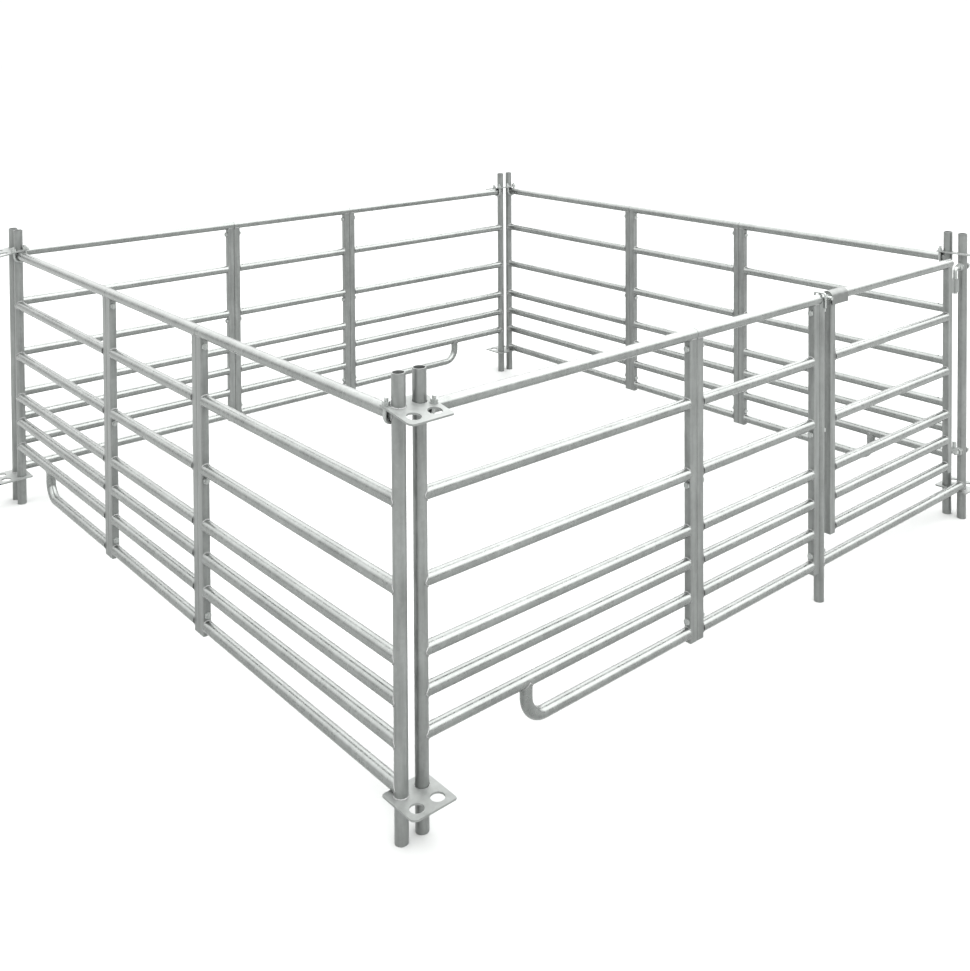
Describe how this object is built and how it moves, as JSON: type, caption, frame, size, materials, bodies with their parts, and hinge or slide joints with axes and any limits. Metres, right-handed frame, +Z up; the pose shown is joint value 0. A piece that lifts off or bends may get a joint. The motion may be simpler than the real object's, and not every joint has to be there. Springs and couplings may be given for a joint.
{
  "type": "livestock panel gate",
  "caption": "Square free-standing pen of bolted galvanised tube panels for sheep, goats or pigs, with a hinged gate and sliding latch in its front side.",
  "frame": {"origin": "on the ground at the centre of the pen", "axes": "+Z up; -Y towards the gate side; +X towards the hinge end of the gate side"},
  "size_m": [2.836, 2.836, 1.1],
  "materials": {
    "galvanised_rail": "hot-dip galvanised, matt with a faint spangle",
    "galvanised_post": "hot-dip galvanised, matt with a faint spangle",
    "galvanised_plate": "hot-dip galvanised, matt with a faint spangle",
    "zinc_hardware": "zinc plated"
  },
  "bodies": {
    "pen": {"back_end_post": "galvanised_post", "back_end_rails": "galvanised_rail", "back_j_bottom_rail": "galvanised_rail", "back_j_post": "galvanised_post", "back_j_rails": "galvanised_rail", "back_left_bottom_plate": "galvanised_plate", "back_left_top_plate": "galvanised_plate", "back_mid_rails": "galvanised_rail", "back_right_bottom_plate": "galvanised_plate", "back_right_top_plate": "galvanised_plate", "back_stiles": "galvanised_post", "corner_u_bolt_nuts": "zinc_hardware", "corner_u_bolt_washers": "zinc_hardware", "corner_u_bolts": "zinc_hardware", "front_gate_post": "galvanised_post", "front_hinge_post": "galvanised_post", "front_j_bottom_rail": "galvanised_rail", "front_j_post": "galvanised_post", "front_j_rails": "galvanised_rail", "front_left_bottom_plate": "galvanised_plate", "front_left_top_plate": "galvanised_plate", "front_mid_rails": "galvanised_rail", "front_right_bottom_plate": "galvanised_plate", "front_right_top_plate": "galvanised_plate", "front_stiles": "galvanised_post", "front_threshold_rail": "galvanised_rail", "hook_bolt_nuts": "zinc_hardware", "hook_bolt_washers": "zinc_hardware", "joint_bolts": "zinc_hardware", "joint_nuts": "zinc_hardware", "latch_keeper": "zinc_hardware", "left_end_post": "galvanised_post", "left_end_rails": "galvanised_rail", "left_j_bottom_rail": "galvanised_rail", "left_j_post": "galvanised_post", "left_j_rails": "galvanised_rail", "left_mid_rails": "galvanised_rail", "left_stiles": "galvanised_post", "lower_hook_bolt": "zinc_hardware", "right_end_post": "galvanised_post", "right_end_rails": "galvanised_rail", "right_j_bottom_rail": "galvanised_rail", "right_j_post": "galvanised_post", "right_j_rails": "galvanised_rail", "right_mid_rails": "galvanised_rail", "right_stiles": "galvanised_post", "upper_hook_bolt": "zinc_hardware"},
    "gate": {"gate_top_rail": "galvanised_rail", "gate_rails": "galvanised_rail", "gate_latch_stile": "galvanised_post", "gate_hinge_stile": "galvanised_post", "upper_hinge_lug": "galvanised_plate", "lower_hinge_lug": "galvanised_plate", "latch_housing": "galvanised_post", "latch_guides": "galvanised_rail"},
    "latch": {"latch_bolt": "zinc_hardware", "latch_knob": "zinc_hardware"}
  },
  "joints": [
    {"name": "gate_swing", "type": "hinge", "parent": "pen", "child": "gate", "pos_m": [1.267, -1.325, 0], "axis": [0, 0, 1], "range_deg": [-90, 100]},
    {"name": "latch_slide", "type": "slide", "parent": "gate", "child": "latch", "axis": [-1, 0, 0], "range_m": [0, 0.012]}
  ]
}
